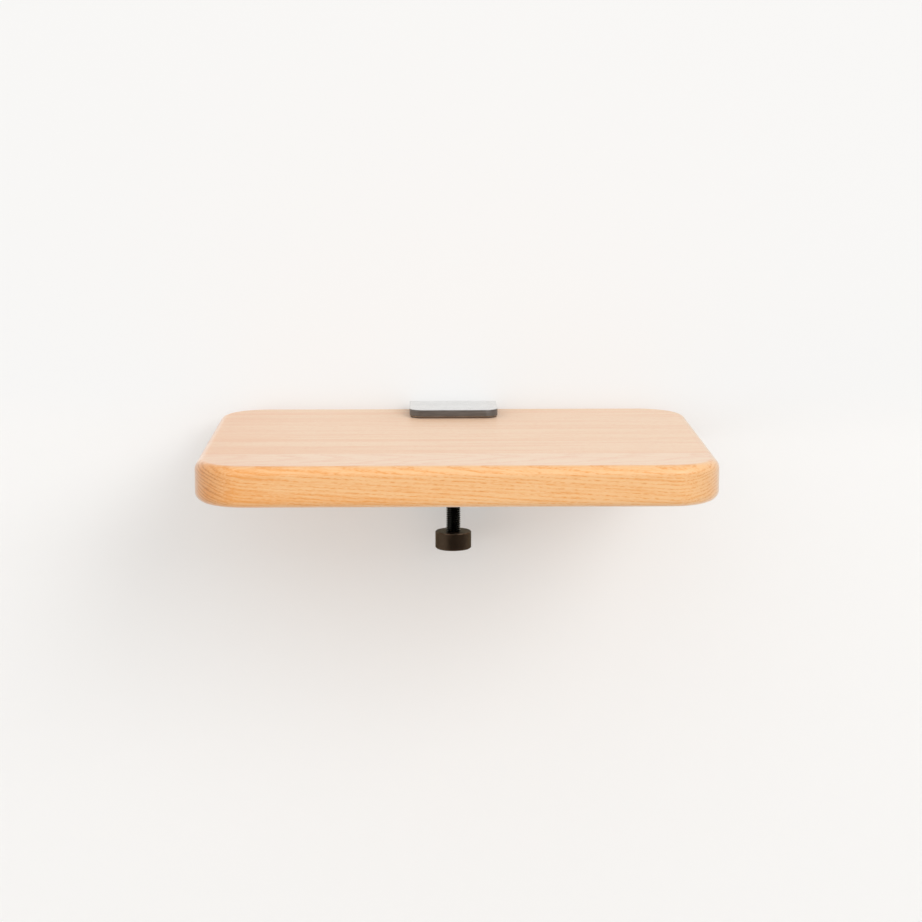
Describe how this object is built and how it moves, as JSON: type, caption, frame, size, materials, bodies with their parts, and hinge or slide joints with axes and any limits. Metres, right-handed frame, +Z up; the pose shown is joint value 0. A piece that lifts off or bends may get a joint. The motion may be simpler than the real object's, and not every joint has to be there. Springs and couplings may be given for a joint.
{
  "type": "wall shelf",
  "caption": "Small oak wall shelf with rounded corners, held at the back by a bent steel clamp whose thumb screw presses a swivel pad up under the board.",
  "frame": {"origin": "middle of the wall face of the clamp bracket's web", "axes": "+X along the board, +Y into the wall, +Z up"},
  "size_m": [0.32, 0.2462, 0.101],
  "materials": {
    "oak": "satin oiled oak",
    "bracket_steel": "dark burnished steel, satin",
    "screw_steel": "black oxide, oiled",
    "knob_steel": "brown-black burnished steel, satin",
    "pad_steel": "turned steel",
    "spring_wire": "bright spring wire",
    "liner_felt": "dark grey felt",
    "cap_rubber": "matt black"
  },
  "bodies": {
    "clamp": {"clamp_bracket": "bracket_steel", "jaw_liner": "liner_felt", "threaded_bush": "screw_steel"},
    "board": {"board_stave_1": "oak", "board_stave_2": "oak", "board_stave_3": "oak", "board_stave_4": "oak", "board_stave_5": "oak"},
    "pad": {"swivel_pad": "pad_steel", "pad_snap_ring": "spring_wire", "pad_cap": "cap_rubber"},
    "screw": {"clamp_screw": "screw_steel", "knob": "knob_steel", "knob_grub_screw": "screw_steel"}
  },
  "joints": [
    {"name": "board_slide", "type": "slide", "parent": "clamp", "child": "board", "axis": [0, -1, 0], "range_m": [0, 0.05]},
    {"name": "pad_lift", "type": "slide", "parent": "clamp", "child": "pad", "axis": [0, 0, 1], "range_m": [-0.00735, 0]},
    {"name": "screw_turn", "type": "hinge", "parent": "pad", "child": "screw", "pos_m": [0, -0.03, -0.059], "axis": [0, 0, 1], "range_deg": [-1764, 0]}
  ],
  "couplings": [
    {"joint": "screw_turn", "follows": "pad_lift", "rad_per_m": 4188.8}
  ]
}
